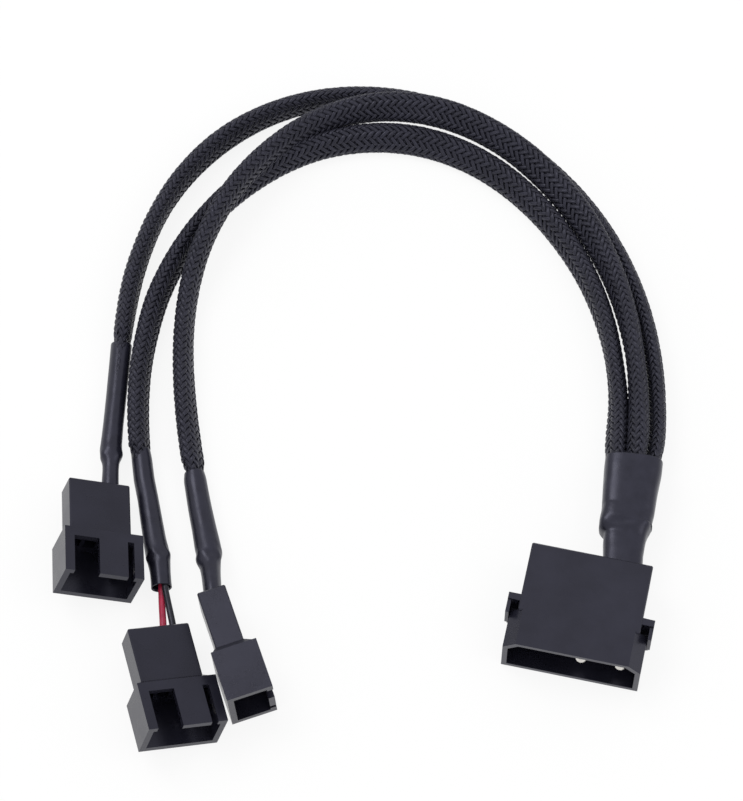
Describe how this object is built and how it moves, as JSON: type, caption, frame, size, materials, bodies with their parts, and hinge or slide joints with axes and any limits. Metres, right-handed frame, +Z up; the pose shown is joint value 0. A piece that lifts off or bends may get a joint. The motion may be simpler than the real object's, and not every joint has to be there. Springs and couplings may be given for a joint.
{
  "type": "fan splitter cable",
  "caption": "Black splitter cable: a wide supply plug feeds braided branch cables, each ending in a shrouded fan plug, laid in an open arch.",
  "frame": {"origin": "on the surface it lies on, under the middle of the box around the plugs, heat shrinks and wires, the three braided cables left out", "axes": "+X from the fan plugs towards the supply plug, +Y away from the plugs' mouths towards the top of the arch, +Z up"},
  "size_m": [0.0997, 0.1233, 0.0126],
  "materials": {
    "housing": "satin moulded nylon, black with a faint blue cast",
    "contact": "bright tin plate",
    "sleeve": "black monofilament braid",
    "shrink": "satin heat-shrink tube, black",
    "wire_red": "red wire insulation",
    "wire_black": "black wire insulation"
  },
  "bodies": {
    "root": {"supply_plug_housing": "housing", "supply_pin_12v": "contact", "supply_pin_ground": "contact", "supply_wire_red": "wire_red", "supply_wire_black": "wire_black", "trunk_shrink": "shrink", "trunk_neck_shrink": "shrink", "braided_cable_a": "sleeve", "braided_cable_b": "sleeve", "braided_cable_c": "sleeve", "branch_shrink_a": "shrink", "branch_shrink_b": "shrink", "branch_shrink_c": "shrink", "neck_shrink_a": "shrink", "neck_shrink_c": "shrink", "fan_wire_a_red": "wire_red", "fan_wire_a_black": "wire_black", "fan_wire_b_red": "wire_red", "fan_wire_b_black": "wire_black", "fan_wire_c_red": "wire_red", "fan_wire_c_black": "wire_black", "fan_plug_housing_a": "housing", "fan_plug_housing_b": "housing", "fan_plug_housing_c": "housing", "fan_pin_a_12v": "contact", "fan_pin_a_ground": "contact", "fan_pin_b_12v": "contact", "fan_pin_b_ground": "contact", "fan_pin_c_12v": "contact", "fan_pin_c_ground": "contact"}
  },
  "joints": []
}
